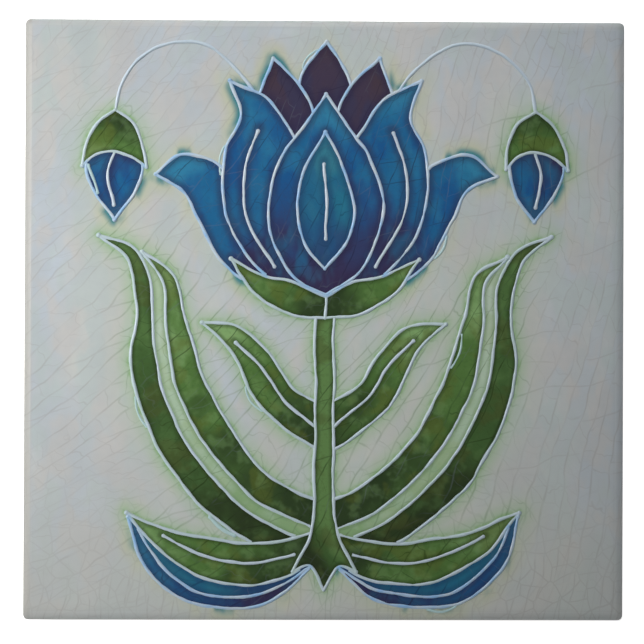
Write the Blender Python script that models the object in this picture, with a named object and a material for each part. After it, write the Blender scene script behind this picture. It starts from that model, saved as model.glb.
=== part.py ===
"""Square ceramic wall tile: one pressed and fired slab, lying on its back with the glazed face up.

The face edge is rolled, the four upright corners are rounded, and the back has shallow
grooves that key it into the wall adhesive. Metres, +Z up, +Y towards the top of the tile.
The origin is the centre of the back, on the plane that the tile rests on.
"""

import math

import bmesh
import bpy
from mathutils import Matrix, Vector

# Driving dimensions of the slab
SIDE = 0.1524
THICKNESS = 0.0095
CORNER_RADIUS = 0.00125
ROLL_WIDTH = 0.0020
ROLL_DEPTH = 0.0013
BACK_ARRIS = 0.0004

# Driving dimensions of the keyed back
GROOVE_COUNT = 10
GROOVE_PITCH = 0.0130
GROOVE_MOUTH = 0.0070
GROOVE_ROOT = 0.0056
GROOVE_DEPTH = 0.0012
GROOVE_END_MARGIN = 0.0140

# Fineness of the curved edges
CORNER_SEGMENTS = 5
ROLL_SEGMENTS = 8
SHARP_ANGLE = math.radians(30)

# How far a cutter passes the face that it cuts
CUT_CLEARANCE = 0.0010

GLAZE_COLOUR = (0.52, 0.53, 0.52, 1.0)
GLAZE_ROUGHNESS = 0.16


def clear_scene():
    """Remove every object, so that the file can be run again."""
    for obj in list(bpy.data.objects):
        bpy.data.objects.remove(obj, do_unlink=True)


def glazed_earthenware():
    """Pale grey glaze over a fired clay body."""
    material = bpy.data.materials.new("glazed_earthenware")
    material.use_nodes = True
    shader = material.node_tree.nodes["Principled BSDF"]
    shader.inputs["Base Color"].default_value = GLAZE_COLOUR
    shader.inputs["Roughness"].default_value = GLAZE_ROUGHNESS
    shader.inputs["Metallic"].default_value = 0.0
    material.diffuse_color = GLAZE_COLOUR
    return material


def raise_ring(bm, face, rise, inset):
    """Extrude a square face upwards and draw its sides in by inset, and return the new face."""
    made = bmesh.ops.extrude_face_region(bm, geom=[face])["geom"]
    top = next(item for item in made if isinstance(item, bmesh.types.BMFace))
    half = max(vert.co.x for vert in top.verts)
    shrink = (half - inset) / half
    bmesh.ops.scale(bm, vec=(shrink, shrink, 1.0), verts=top.verts)
    bmesh.ops.translate(bm, vec=(0.0, 0.0, rise), verts=top.verts)
    bmesh.ops.delete(bm, geom=[face], context="FACES_ONLY")
    return top


def rolled_edge():
    """Rise and inset of each step of the quarter ellipse that rolls the face edge over."""
    steps = []
    before = Vector((0.0, 0.0))
    for index in range(1, ROLL_SEGMENTS + 1):
        angle = math.radians(90) * index / ROLL_SEGMENTS
        here = Vector((ROLL_DEPTH * math.sin(angle), ROLL_WIDTH * (1 - math.cos(angle))))
        steps.append(here - before)
        before = here
    return steps


def tile_slab():
    """The slab without its grooves: back arris, upright side, rolled edge and flat face."""
    bm = bmesh.new()
    bmesh.ops.create_grid(bm, x_segments=1, y_segments=1, size=SIDE / 2)
    bmesh.ops.bevel(
        bm,
        geom=bm.verts[:],
        offset=CORNER_RADIUS,
        segments=CORNER_SEGMENTS,
        profile=0.5,
        affect="VERTICES",
        material=-1,
    )
    back = bm.faces[:][0]
    shrink = 1 - 2 * BACK_ARRIS / SIDE
    bmesh.ops.scale(bm, vec=(shrink, shrink, 1.0), verts=back.verts)
    underside = bmesh.ops.duplicate(bm, geom=[back])["geom"]
    underside = next(item for item in underside if isinstance(item, bmesh.types.BMFace))
    bmesh.ops.reverse_faces(bm, faces=[underside])

    top = raise_ring(bm, back, BACK_ARRIS, -BACK_ARRIS)
    top = raise_ring(bm, top, THICKNESS - BACK_ARRIS - ROLL_DEPTH, 0.0)
    for rise, inset in rolled_edge():
        top = raise_ring(bm, top, rise, inset)

    bmesh.ops.remove_doubles(bm, verts=bm.verts, dist=1e-6)
    bmesh.ops.recalc_face_normals(bm, faces=bm.faces)
    return bm


def back_grooves():
    """One tapered bar for each groove, with its narrow side up inside the slab."""
    bm = bmesh.new()
    length = SIDE - 2 * GROOVE_END_MARGIN
    height = GROOVE_DEPTH + CUT_CLEARANCE
    slope = (GROOVE_MOUTH - GROOVE_ROOT) / 2 / GROOVE_DEPTH
    foot = GROOVE_MOUTH + 2 * slope * CUT_CLEARANCE
    for index in range(GROOVE_COUNT):
        across = (index - (GROOVE_COUNT - 1) / 2) * GROOVE_PITCH
        place = Matrix.Translation((across, 0.0, height / 2 - CUT_CLEARANCE))
        size = Matrix.Diagonal((foot, length, height, 1.0))
        bar = bmesh.ops.create_cube(bm, size=1.0, matrix=place @ size)["verts"]
        root = [vert for vert in bar if vert.co.z > 0.0]
        narrow = GROOVE_ROOT / foot
        shorter = 1 - (GROOVE_MOUTH - GROOVE_ROOT) / length
        bmesh.ops.scale(
            bm,
            vec=(narrow, shorter, 1.0),
            space=Matrix.Translation((-across, 0.0, 0.0)),
            verts=root,
        )
    return bm


def object_from(bm, name):
    """Put a finished bmesh into the scene as an object."""
    mesh = bpy.data.meshes.new(name)
    bm.to_mesh(mesh)
    bm.free()
    obj = bpy.data.objects.new(name, mesh)
    bpy.context.scene.collection.objects.link(obj)
    return obj


def build_tile():
    """The whole tile, with its back cut by the grooves."""
    tile = object_from(tile_slab(), "tile")
    tile.data.materials.append(glazed_earthenware())
    tile.data.shade_smooth()
    tile.data.set_sharp_from_angle(angle=SHARP_ANGLE)

    cutter = object_from(back_grooves(), "back_groove_cutter")
    cutter.hide_render = True
    cutter.display_type = "WIRE"

    cut = tile.modifiers.new("keyed_back", "BOOLEAN")
    cut.operation = "DIFFERENCE"
    cut.solver = "EXACT"
    cut.object = cutter
    return tile


def main():
    clear_scene()
    build_tile()


if __name__ == "__main__":
    main()
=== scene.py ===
"""Looks of a square glazed wall tile: crazed ground glaze, piped slip lines and pooled coloured glazes.

The ornament is an open water flower on one stem between sweeping leaves, drawn here in millimetres
from the centre of the face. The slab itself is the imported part, and nothing here moves or resizes it.
"""

import math
from functools import lru_cache
from types import SimpleNamespace
from typing import NamedTuple

import bmesh
import bpy
import numpy as np
from bpy.props import FloatProperty, FloatVectorProperty, PointerProperty
from mathutils import Matrix, Vector, kdtree, noise


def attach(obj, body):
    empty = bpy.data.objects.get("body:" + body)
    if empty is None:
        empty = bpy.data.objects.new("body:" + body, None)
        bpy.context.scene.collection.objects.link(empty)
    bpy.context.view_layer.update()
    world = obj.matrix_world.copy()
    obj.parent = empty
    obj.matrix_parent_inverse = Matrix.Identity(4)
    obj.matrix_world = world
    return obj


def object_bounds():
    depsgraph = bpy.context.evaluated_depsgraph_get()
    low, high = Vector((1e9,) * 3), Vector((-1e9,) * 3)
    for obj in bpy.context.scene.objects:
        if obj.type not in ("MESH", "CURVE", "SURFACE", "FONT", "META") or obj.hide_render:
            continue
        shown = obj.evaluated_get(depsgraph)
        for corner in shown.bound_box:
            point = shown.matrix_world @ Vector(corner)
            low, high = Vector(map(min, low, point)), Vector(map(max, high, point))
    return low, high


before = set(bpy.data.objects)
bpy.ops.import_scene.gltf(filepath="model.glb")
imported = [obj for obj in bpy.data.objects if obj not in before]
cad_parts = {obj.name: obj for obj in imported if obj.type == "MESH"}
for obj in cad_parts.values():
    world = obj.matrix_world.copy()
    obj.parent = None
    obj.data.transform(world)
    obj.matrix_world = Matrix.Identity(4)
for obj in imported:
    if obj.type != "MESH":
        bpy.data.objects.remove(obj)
CAD_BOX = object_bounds()

bl_info = {
    "name": "Glazed Wall Tile",
    "version": (1, 0, 0),
    "blender": (4, 5, 0),
    "location": "View3D > Sidebar > Wall Tile",
    "description": "Glazes a square wall tile and pipes its slip-line ornament",
    "category": "Object",
}

MM = 0.001

# Sizes are in millimetres, apart from those of the floor and the lamps and those that a user can
# change, which are in metres.

# The slab, read from the frame, and the rolled edge of its face
HALF_SIDE = (CAD_BOX[1].x - CAD_BOX[0].x) / 2 / MM
FACE = CAD_BOX[1].z / MM
ROLL_WIDTH = 2.0
ROLL_DEPTH = 1.3
ROLL_SEGMENTS = 8
CORNER_RADIUS = 1.25

# How far the glaze lies proud of the slab, and how deep its hidden side is let in
GLAZE_PROUD = 0.10
POOL_PROUD = 0.15
GLAZE_ROOT = 0.40

# The squares of the ground and of the coloured fields, and how near two points are to be merged
GRID_STEP = 0.56
POOL_STEP = 0.45
MERGE_GAP = 0.01

# How far the ground's lower rim waves up and down, the share of its skirt above the wavy part, and
# the width beside the rolled edge over which the unevenness of the face dies away
RIM_WAVE = 0.9
SKIRT_EVEN = 0.6
CALM_WIDTH = 6.0

# How far a glaze climbs against a line, and where and how fast the climb dies away
CLIMB = 0.08
CLIMB_PLACE = 0.35
CLIMB_REACH = 0.50

# The gloss of the glaze on the face, and of the thin glaze on the rolled edge
GLAZE_ROUGHNESS = 0.14
ROLL_ROUGHNESS = 0.48
GLAZE_IOR = 1.5

# Distances from the edge of the tile: where the thin glaze's warm tint and painted shade on the roll
# begin and are full, where the painted shade of the far sides begins, and where the line of painted shade
# at the start of the roll runs
THIN_SHADE_BEGIN = 2.3
THIN_SHADE_FULL = 1.1
FAR_SHADE_BEGIN = 4.0
HOLLOW_PLACE = 1.9

# The long cracks follow lines of equal X * lean + Y * drift. The lean is given for the middle of the
# face, with its change for each millimetre across and up, because the cracks turn over the face.
CRACK_LEAN = 0.80
CRACK_LEAN_ACROSS = 0.00135
CRACK_LEAN_UP = 0.00425
CRACK_DRIFT = -0.515

# The noises that bend the cracks, each as its scale and how far it bends them, then the distance from
# a crack's middle that is fully dark, and the scale of the many-sided net
CRACK_BENDS = ((0.016, 20.0), (0.085, 3.6), (0.45, 0.35))
CRACK_CORE = 0.03
NET_SCALE = 0.21

# The hand-piped lines: the step of their points, their size, and how far the hand sways and trembles
SAMPLE_STEP = 0.40
LINE_RADIUS = 0.42
LINE_SQUASH = 0.80
LINE_HEIGHT = FACE + 0.15
HAND_SWAY = 0.75
HAND_TREMOR = 0.13

# A line this near to the outline of a later field is piped with that field
COVER_REACH = 0.35

# The end of a line is free when it is further than this from all other lines
FREE_END_GAP = 1.1

# The longest distance to a line that is kept on the points of a piece
GAP_LIMIT = 15.0

# The camera, almost straight above the face: its place in millimetres and its tilt in degrees
CAMERA_PLACE = (-14.3, -3.4, 623.3)
CAMERA_TILT = (0.27, -1.27, 0.24)
LENS = 135.0
SENSOR = 36.0

# Half the side of the floor and how far it lies under the tile, and the share of the floor's own
# light that reaches the tile
FLOOR_REACH = 6.0
FLOOR_DROP = 0.00005
FLOOR_SPILL = 0.3


# The ornament, from the back to the front. Each entry is a name, its glaze or None for a bare line,
# whether it has a twin on the left, and its strokes, which meet at corners. The first stroke runs
# from the root of the leaf or petal to its tip.
DRAWING = [
    ("stalk", None, True, [
        [(15, 52), (22, 63), (32, 70.0), (43, 69), (51, 61.5), (53.5, 53)],
    ]),
    ("bud", "petal_blue", True, [
        [(58.6, 44.5), (60.2, 38.5), (58.0, 31.5), (53.4, 25.0)],
        [(53.4, 25.0), (48.8, 31.5), (46.8, 38.5), (48.6, 44.5)],
        [(48.6, 44.5), (58.6, 44.5)],
    ]),
    ("bud_rib", None, True, [
        [(53.5, 42.5), (54.9, 36), (53.6, 28)],
    ]),
    ("bud_cap", "leaf_green", True, [
        [(53.6, 53.0), (57.8, 50.0), (60.6, 44.0), (61.3, 38.5)],
        [(61.3, 38.5), (57.8, 41.6), (53.6, 42.8), (49.4, 41.6), (45.8, 38.5)],
        [(45.8, 38.5), (46.6, 44.0), (49.4, 50.0), (53.6, 53.0)],
    ]),
    ("water", "petal_blue", True, [
        [(2, -62), (13, -71.0), (28, -73.0), (40, -68.6), (47.0, -60.0), (49.6, -50.0)],
        [(49.6, -50.0), (38, -57), (25, -60), (2, -62)],
    ]),
    ("ripple", "teal", True, [
        [(2, -62), (13, -68.4), (28, -70.2), (38.2, -65.8), (44.5, -58.2), (48.0, -50.8)],
        [(48.0, -50.8), (38, -57), (25, -60), (2, -62)],
    ]),
    ("great_leaf_wash", "pale_green", True, [
        [(2, -59), (17, -53), (32, -40.5), (42.0, -22), (45.6, -5), (45.2, 9), (50.5, 18.6)],
        [(50.5, 18.6), (40.5, 10), (38.6, -4), (34.5, -19), (26, -34), (14, -45), (2, -51)],
        [(2, -51), (2, -59)],
    ]),
    ("great_leaf_back", "deep_green", True, [
        [(1, -61), (15, -58), (31, -47.5), (43, -31), (48.8, -12), (47.6, 4), (50, 15), (57.5, 21.5)],
        [
            (57.5, 21.5), (48.8, 18.0), (44.0, 9), (43.4, -5),
            (39.8, -21), (30.2, -38.2), (16.8, -50.4), (2, -57),
        ],
        [(2, -57), (1, -61)],
    ]),
    ("great_leaf_front", "leaf_green", True, [
        [(2, -53.2), (15.4, -47.0), (27.8, -35.0), (36.8, -19), (40.0, -4), (41.0, 9), (46.6, 16.8)],
        [
            (46.6, 16.8), (38.8, 11.5), (35.6, 1), (32.4, -10),
            (26.6, -23), (17.4, -36), (7.6, -43.6), (0, -46.4),
        ],
        [(0, -46.4), (2, -53.2)],
    ]),
    ("low_leaf", "leaf_green", True, [
        [(0, -59), (10, -65.5), (25, -67), (39, -61), (50, -49)],
        [(50, -49), (38, -53.5), (26, -56), (14, -56.5), (0, -53)],
    ]),
    ("low_leaf_rib", None, True, [
        [(7, -59.5), (18, -61.6), (30, -60.2), (41, -54.5)],
    ]),
    ("inner_leaf", "leaf_green", True, [
        [(0, -34), (10, -28), (19, -18), (23.5, -8), (31, -1.0)],
        [(31, -1.0), (22, -1.5), (14.5, -8), (8, -17), (0, -22)],
    ]),
    ("inner_leaf_rib", None, True, [
        [(2.5, -27), (10, -20.5), (17, -11), (23.0, -5)],
    ]),
    ("stem", "deep_green", False, [
        [(0, -68.5), (3.6, -62.6), (8.0, -64)],
        [(8.0, -64), (3.6, -54), (2.5, -36), (2.2, -15), (2.3, 6)],
        [(2.3, 6), (-2.3, 6)],
        [(-2.3, 6), (-2.2, -15), (-2.5, -36), (-3.6, -54), (-8.0, -64)],
        [(-8.0, -64), (-3.6, -62.6), (0, -68.5)],
    ]),
    ("crown_petal", "plum", False, [
        [(0, 50), (6.5, 56), (6.0, 62), (0, 70.5)],
        [(0, 70.5), (-6.0, 62), (-6.5, 56), (0, 50)],
    ]),
    ("back_petal", "plum", True, [
        [(2, 40), (15, 46), (17.5, 55), (13.6, 66.5)],
        [(13.6, 66.5), (6.8, 60), (3.5, 54), (2, 40)],
    ]),
    ("wing_petal", "petal_blue", True, [
        [(2, 7), (14, 7), (26, 14.5), (32.5, 26), (36.2, 33), (43.5, 36.8)],
        [(43.5, 36.8), (36.8, 41.8), (28.5, 40), (20, 30), (8, 14), (2, 7)],
    ]),
    ("side_petal", "petal_blue", True, [
        [(1, 7), (12, 9.5), (21.5, 18.5), (26, 31), (25.4, 43), (21.5, 51.5), (24.5, 61.0)],
        [(24.5, 61.0), (15.5, 56.5), (9, 48.5), (4, 37), (0, 15), (1, 7)],
    ]),
    ("side_petal_rib", None, True, [
        [(12.5, 13), (19.6, 25), (20.6, 38), (17.0, 48.5)],
    ]),
    ("front_petal", "petal_blue", False, [
        [(0, 6.5), (8.2, 11.5), (13.6, 21.5), (14.2, 32), (11.0, 42), (5.2, 50), (0, 57.5)],
        [(0, 57.5), (-5.2, 50), (-11.0, 42), (-14.2, 32), (-13.6, 21.5), (-8.2, 11.5), (0, 6.5)],
    ]),
    ("flame", "teal", False, [
        [(0, 13), (5.4, 20), (7.2, 29), (5.0, 38.5), (0, 48)],
        [(0, 48), (-5.0, 38.5), (-7.2, 29), (-5.4, 20), (0, 13)],
    ]),
    ("flame_rib", None, False, [
        [(0, 20), (0.3, 30), (0, 40)],
    ]),
    ("sepal", "leaf_green", True, [
        [(0, 0.5), (8.5, 1.4), (17.5, 6.5), (24.0, 15.5)],
        [(24.0, 15.5), (15.0, 11.2), (7.5, 9.6), (0, 6.0)],
        [(0, 6.0), (0, 0.5)],
    ]),
]

# Thin runs of slip that strayed beside a line: entry, stroke, stretch of it as shares of its
# length, distance from it and radius
STRAYS = [
    ("great_leaf_back_left", 0, 0.20, 0.28, 1.2, 0.46),
    ("great_leaf_back_left", 0, 0.52, 0.60, 1.2, 0.28),
    ("great_leaf_front_right", 1, 0.30, 0.42, 1.4, 0.28),
    ("wing_petal_right", 0, 0.50, 0.62, -1.3, 0.30),
    ("side_petal_left", 0, 0.62, 0.74, 1.2, 0.26),
    ("bud_left", 0, 0.25, 0.65, 1.2, 0.40),
    ("water_right", 0, 0.42, 0.55, -1.3, 0.28),
    ("inner_leaf_left", 0, 0.40, 0.58, 1.3, 0.26),
    ("crown_petal", 1, 0.10, 0.35, -1.1, 0.24),
]

# The glazes of each family
GREEN_GLAZES = ("pale_green", "leaf_green", "deep_green")
BLUE_GLAZES = ("petal_blue", "teal", "plum")


class Flow(NamedTuple):
    """How a glaze ran: the scale of its streaks up the face, which are longer the lower it is, how
    unevenly it turns from root to tip, and the width of its dark rim."""

    streak: float
    unevenness: float
    rim_width: float


GREEN_FLOW = Flow(streak=1.0, unevenness=0.35, rim_width=1.5)
BLUE_FLOW = Flow(streak=0.45, unevenness=0.25, rim_width=2.6)


class Lamp(NamedTuple):
    """A soft spot lamp: its place, the place on the floor that it points at, its size, and its cone
    in degrees."""

    place: tuple
    target: tuple
    size: float
    cone: float


KEY_LAMP = Lamp(place=(-0.51, 0.12, 0.53), target=(-0.14, 0.02), size=0.16, cone=28.0)
FILL_LAMP = Lamp(place=(-0.02, 0.50, 0.50), target=(0.03, 0.10), size=0.10, cone=26.0)


def tint(label, default):
    """A colour that a user can change, in linear red, green and blue."""
    return FloatVectorProperty(
        name=label,
        description="Colour of the " + label.lower(),
        default=default,
        size=3,
        min=0.0,
        max=1.0,
        subtype="COLOR",
    )


class WallTileSizes(bpy.types.PropertyGroup):
    """Sizes of the lines and the glaze."""

    line_width: FloatProperty(
        name="Line Width",
        description="Width of a piped slip line",
        default=2 * LINE_RADIUS * MM,
        min=0.0004,
        max=0.003,
        unit="LENGTH",
        precision=5,
    )
    skirt_depth: FloatProperty(
        name="Skirt Depth",
        description="How far the ground glaze runs down the edges of the tile",
        default=0.0042,
        min=0.002,
        max=0.008,
        unit="LENGTH",
        precision=5,
    )
    crack_pitch: FloatProperty(
        name="Crack Pitch",
        description="Mean distance between the long cracks of the glaze",
        default=0.0035,
        min=0.001,
        max=0.02,
        unit="LENGTH",
        precision=5,
    )


class WallTileColours(bpy.types.PropertyGroup):
    """Colours of the glazes, the slip and the clay."""

    ground_cool: tint("Cool Ground", (0.575, 0.632, 0.688))
    ground_warm: tint("Warm Ground", (0.636, 0.645, 0.612))
    slip: tint("Slip", (0.575, 0.668, 0.750))
    clay: tint("Clay", (0.600, 0.500, 0.370))
    crack: tint("Crack", (0.300, 0.270, 0.250))
    pale_green_accent: tint("Pale Green Accent", (0.400, 0.520, 0.300))
    leaf_green_accent: tint("Leaf Green Accent", (0.120, 0.155, 0.028))
    deep_green_accent: tint("Deep Green Accent", (0.080, 0.098, 0.026))
    petal_blue_accent: tint("Petal Blue Accent", (0.020, 0.170, 0.330))
    teal_accent: tint("Teal Accent", (0.020, 0.110, 0.260))
    plum_accent: tint("Plum Accent", (0.040, 0.046, 0.105))
    pale_green_root: tint("Pale Green Root", (0.270, 0.430, 0.210))
    pale_green_body: tint("Pale Green Body", (0.460, 0.600, 0.440))
    pale_green_tip: tint("Pale Green Tip", (0.540, 0.640, 0.530))
    leaf_green_root: tint("Leaf Green Root", (0.032, 0.058, 0.020))
    leaf_green_body: tint("Leaf Green Body", (0.096, 0.198, 0.050))
    leaf_green_tip: tint("Leaf Green Tip", (0.250, 0.420, 0.165))
    deep_green_root: tint("Deep Green Root", (0.028, 0.044, 0.016))
    deep_green_body: tint("Deep Green Body", (0.060, 0.126, 0.036))
    deep_green_tip: tint("Deep Green Tip", (0.130, 0.245, 0.078))
    petal_blue_root: tint("Petal Blue Root", (0.046, 0.034, 0.090))
    petal_blue_body: tint("Petal Blue Body", (0.014, 0.105, 0.290))
    petal_blue_tip: tint("Petal Blue Tip", (0.038, 0.235, 0.400))
    teal_root: tint("Teal Root", (0.030, 0.075, 0.190))
    teal_body: tint("Teal Body", (0.022, 0.180, 0.285))
    teal_tip: tint("Teal Tip", (0.050, 0.240, 0.310))
    plum_root: tint("Plum Root", (0.042, 0.036, 0.090))
    plum_body: tint("Plum Body", (0.064, 0.046, 0.080))
    plum_tip: tint("Plum Tip", (0.078, 0.048, 0.058))


class WallTileStains(bpy.types.PropertyGroup):
    """Colours of the tones and stains in the ground glaze and the slip, and of the painted shade at the
    tile's edge.
    """

    beige_blotch: tint("Beige Blotches", (0.665, 0.630, 0.595))
    sage_blotch: tint("Sage Blotches", (0.560, 0.635, 0.615))
    cool_shade: tint("Cool Shade", (0.470, 0.505, 0.535))
    fine_mottle: tint("Fine Mottle", (0.480, 0.510, 0.525))
    dark_flake: tint("Dark Flakes", (0.460, 0.495, 0.525))
    lower_part: tint("Lower Part", (0.588, 0.595, 0.552))
    # Warm tint of thin glaze on the left and top roll, darkened as painted shade against the key lamp
    thin_glaze: tint("Thin Glaze", (0.425, 0.412, 0.378))
    # Painted shade on the roll at the right and the bottom
    thick_glaze: tint("Thick Glaze", (0.330, 0.345, 0.350))
    # Painted shade in a line where the roll begins
    hollow_painted_shade: tint("Hollow Painted Shade", (0.400, 0.430, 0.460))
    yellow_stain: tint("Yellow Stain", (0.540, 0.580, 0.340))
    green_glow: tint("Green Glow", (0.530, 0.600, 0.480))
    green_wash: tint("Green Wash", (0.420, 0.560, 0.380))
    green_rim: tint("Green Rim", (0.260, 0.450, 0.190))
    green_crack: tint("Green Cracks", (0.100, 0.270, 0.070))
    blue_smudge: tint("Blue Smudge", (0.050, 0.240, 0.280))
    slip_shade: tint("Slip Shade", (0.520, 0.620, 0.700))
    slip_by_green: tint("Slip by Green", (0.440, 0.600, 0.540))
    slip_by_blue: tint("Slip by Blue", (0.260, 0.500, 0.820))
    stray_slip: tint("Stray Slip", (0.460, 0.660, 0.640))


class WallTileStage(bpy.types.PropertyGroup):
    """Light and floor."""

    key_power: FloatProperty(
        name="Key Power",
        description="Power of the soft light at the upper left",
        default=36.8,
        min=0.0,
        unit="POWER",
    )
    fill_power: FloatProperty(
        name="Fill Power",
        description="Power of the weaker soft light at the top",
        default=7.0,
        min=0.0,
        unit="POWER",
    )
    floor_glow: FloatProperty(
        name="Floor Glow",
        description="How much light the pale floor gives off by itself",
        default=0.85,
        min=0.0,
    )
    room_light: FloatProperty(
        name="Room Light",
        description="Strength of the pale light from all round, which is brightest at the horizon",
        default=0.084,
        min=0.0,
    )


class Entry(NamedTuple):
    """One field or bare line of the ornament, as piped. A bare line has no glaze."""

    name: str
    glaze: str | None
    strokes: list
    outline: np.ndarray
    root: Vector
    tip: Vector


class Run(NamedTuple):
    """A stretch of a piped line that shows, of the width of one nozzle."""

    points: np.ndarray
    glaze: str | None
    radius: float


def through_points(points):
    """Sample a centripetal spline through the points, at about SAMPLE_STEP."""
    given = [np.array(point, float) for point in points]
    padded = [2 * given[0] - given[1], *given, 2 * given[-1] - given[-2]]
    sampled = []
    for before, start, end, after in zip(padded, padded[1:], padded[2:], padded[3:]):
        t0 = 0.0
        t1 = t0 + np.linalg.norm(start - before) ** 0.5
        t2 = t1 + np.linalg.norm(end - start) ** 0.5
        t3 = t2 + np.linalg.norm(after - end) ** 0.5
        count = max(2, round(np.linalg.norm(end - start) / SAMPLE_STEP))
        t = np.linspace(t1, t2, count, endpoint=False)[:, None]
        a1 = ((t1 - t) * before + (t - t0) * start) / (t1 - t0)
        a2 = ((t2 - t) * start + (t - t1) * end) / (t2 - t1)
        a3 = ((t3 - t) * end + (t - t2) * after) / (t3 - t2)
        b1 = ((t2 - t) * a1 + (t - t0) * a2) / (t2 - t0)
        b2 = ((t3 - t) * a2 + (t - t1) * a3) / (t3 - t1)
        sampled.append(((t2 - t) * b1 + (t - t1) * b2) / (t2 - t1))
    sampled.append(given[-1][None, :])
    return np.concatenate(sampled)


def uneven(x, y, size, seed):
    """Smooth noise over the face, from about -1 to 1, with swells of one size."""
    return noise.noise(Vector((x / size, y / size, seed)))


def by_hand(points):
    """Shake a drawn line a little, as a hand does that pipes slip."""
    shaken = []
    for x, y in points:
        across = x + HAND_SWAY * uneven(x, y, 11, 3.1) + HAND_TREMOR * uneven(x, y, 3.0, 8.7)
        up = y + HAND_SWAY * uneven(x, y, 11, 33.1) + HAND_TREMOR * uneven(x, y, 3.0, 48.7)
        shaken.append((across, up))
    return np.array(shaken)


def mirrored(strokes):
    """The same strokes on the left of the tile."""
    return [[(-x, y) for x, y in stroke] for stroke in strokes]


@lru_cache(maxsize=1)
def ornament():
    """Every entry of the drawing on both sides, from the back to the front."""
    entries = []
    for name, glaze, twin, strokes in DRAWING:
        sides = {"_right": strokes, "_left": mirrored(strokes)} if twin else {"": strokes}
        for side, drawn in sides.items():
            lines = [by_hand(through_points(stroke)) for stroke in drawn]
            outline = np.concatenate([line[:-1] for line in lines])
            root, tip = Vector(lines[0][0]), Vector(lines[0][-1])
            entries.append(Entry(name + side, glaze, lines, outline, root, tip))
    return entries


def inside(points, outline):
    """Which of the points lie inside a closed outline."""
    x, y = points[:, 0, None], points[:, 1, None]
    x1, y1 = outline[:, 0], outline[:, 1]
    x2, y2 = np.roll(x1, 1), np.roll(y1, 1)
    span = np.where(y2 == y1, 1.0, y2 - y1)
    crosses = ((y1 > y) != (y2 > y)) & (x < (x2 - x1) * (y - y1) / span + x1)
    return crosses.sum(axis=1) % 2 == 1


def covered(points, order):
    """Which of the points lie under a field that comes later in the drawing."""
    hidden = np.zeros(len(points), bool)
    for entry in ornament()[order + 1:]:
        if entry.glaze:
            hidden |= inside(points, entry.outline)
    return hidden


def shared(points, order):
    """Which of the points lie along the outline of a later field, which pipes them itself."""
    near = np.zeros(len(points), bool)
    for entry in ornament()[order + 1:]:
        if entry.glaze:
            gaps = np.hypot(*(points[:, None, :] - entry.outline[None, :, :]).transpose(2, 0, 1))
            near |= gaps.min(axis=1) < COVER_REACH
    return near


def shows(points, order):
    """Which of the points of an entry's lines show."""
    return ~(covered(points, order) | shared(points, order))


@lru_cache(maxsize=1)
def shown_runs():
    """Part every stroke into the stretches that show, each reaching a step under what covers it."""
    runs = []
    for order, entry in enumerate(ornament()):
        for stroke in entry.strokes:
            seen = shows(stroke, order)
            turns = np.flatnonzero(np.diff(seen.astype(int)))
            for part in np.split(np.arange(len(stroke)), turns + 1):
                if seen[part[0]] and len(part) > 3:
                    reach = slice(max(part[0] - 1, 0), part[-1] + 2)
                    runs.append(Run(stroke[reach], entry.glaze, LINE_RADIUS))
    return runs


def shown_corners():
    """The corners of the fields that show, and whether each is the tip of its field."""
    corners = []
    for order, entry in enumerate(ornament()):
        if entry.glaze:
            for index, stroke in enumerate(entry.strokes):
                if shows(stroke[:1], order)[0]:
                    corners.append((stroke[0], index == 1))
    return corners


def stray_runs():
    """Thin runs of slip beside some of the lines."""
    entries = {entry.name: entry for entry in ornament()}
    runs = []
    for name, index, start, end, distance, radius in STRAYS:
        stroke = entries[name].strokes[index]
        part = stroke[round(start * len(stroke)):round(end * len(stroke))]
        heading = np.gradient(part, axis=0)
        heading /= np.hypot(*heading.T)[:, None]
        beside = np.stack([-heading[:, 1], heading[:, 0]], axis=1)
        bow = np.sin(np.linspace(0.3, math.pi - 0.3, len(part)))[:, None]
        runs.append(Run(part + beside * distance * bow, entries[name].glaze, radius))
    return runs


def tree_of(points):
    """A search tree over points of the face."""
    tree = kdtree.KDTree(len(points))
    for index, (x, y) in enumerate(points):
        tree.insert((x, y, 0.0), index)
    tree.balance()
    return tree


@lru_cache(maxsize=None)
def line_tree(family="all"):
    """A search tree over the shown lines: all of them, or those round green or blue fields."""
    kept = []
    for run in shown_runs():
        green = run.glaze in GREEN_GLAZES
        if family == "all" or (run.glaze and green == (family == "green")):
            kept.append(run.points)
    return tree_of(np.concatenate(kept))


def line_gap(x, y, family="all"):
    """Distance in millimetres from a point of the face to the nearest shown line."""
    return line_tree(family).find((x, y, 0.0))[2]


def undulation(x, y):
    """Slow unevenness of a poured glaze."""
    return 0.040 * uneven(x, y, 24, 1.7) + 0.009 * uneven(x, y, 6.5, 5.2)


def meniscus(gap):
    """How far a glaze climbs against a line."""
    return CLIMB * math.exp(-max(gap - CLIMB_PLACE, 0.0) / CLIMB_REACH)


def put(tree, kind, feeds=None, **settings):
    """Add a node, set its properties, and feed its inputs with values or other nodes' outputs."""
    made = tree.nodes.new(kind)
    for name, value in settings.items():
        setattr(made, name, value)
    for key, value in (feeds or {}).items():
        if isinstance(value, bpy.types.NodeSocket):
            tree.links.new(value, made.inputs[key])
        else:
            made.inputs[key].default_value = value
    return made


def calc(tree, operation, first, second=0.0, third=0.0):
    """One step of arithmetic."""
    return put(tree, "ShaderNodeMath", {0: first, 1: second, 2: third}, operation=operation).outputs[0]


def times(tree, first, second):
    """The product of two values."""
    return calc(tree, "MULTIPLY", first, second)


def times_plus(tree, value, factor, added):
    """A value times a factor, with another value added."""
    return calc(tree, "MULTIPLY_ADD", value, factor, added)


def larger(tree, first, second):
    """The larger of two values."""
    return calc(tree, "MAXIMUM", first, second)


def centred(tree, value):
    """A value from 0 to 1, moved to run from -0.5 to 0.5."""
    return calc(tree, "SUBTRACT", value, 0.5)


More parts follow.
